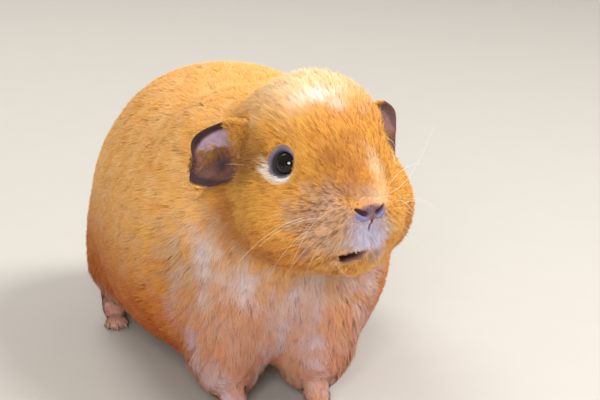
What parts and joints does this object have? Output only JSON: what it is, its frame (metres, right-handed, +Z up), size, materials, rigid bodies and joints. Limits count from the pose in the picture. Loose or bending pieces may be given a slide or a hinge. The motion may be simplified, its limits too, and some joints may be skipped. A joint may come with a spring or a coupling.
{
  "type": "guinea pig",
  "caption": "Life-size still model of a plump short-haired ginger guinea pig, standing with its head raised and turned a little to its left.",
  "frame": {"origin": "on the floor, under the middle of the animal's bounding box", "axes": "+Z up, +Y from the nose to the rump along the body, +X towards the animal's left side"},
  "size_m": [0.1302, 0.249, 0.1465],
  "materials": {
    "coat": "soft short ginger hair with cream patches",
    "foot_skin": "bare pinkish skin with fine short hair",
    "ear_skin": "thin bare skin, mauve-brown, satin",
    "nose_skin": "moist mauve-pink skin",
    "eye": "wet, glossy black-brown",
    "claw": "smooth translucent horn"
  },
  "bodies": {
    "root": {"trunk": "coat", "neck": "coat", "head": "coat", "lower_jaw": "coat", "foreleg_right": "coat", "hindleg_right": "coat", "forefoot_right": "foot_skin", "hindfoot_right": "foot_skin", "ear_right": "ear_skin", "foreleg_left": "coat", "hindleg_left": "coat", "forefoot_left": "foot_skin", "hindfoot_left": "foot_skin", "ear_left": "ear_skin", "nose": "nose_skin", "eye_right": "eye", "eye_left": "eye", "forefoot_right_claw_1": "claw", "forefoot_right_claw_2": "claw", "forefoot_right_claw_3": "claw", "forefoot_right_claw_4": "claw", "forefoot_left_claw_1": "claw", "forefoot_left_claw_2": "claw", "forefoot_left_claw_3": "claw", "forefoot_left_claw_4": "claw", "hindfoot_right_claw_1": "claw", "hindfoot_right_claw_2": "claw", "hindfoot_right_claw_3": "claw", "hindfoot_left_claw_1": "claw", "hindfoot_left_claw_2": "claw", "hindfoot_left_claw_3": "claw"}
  },
  "joints": []
}
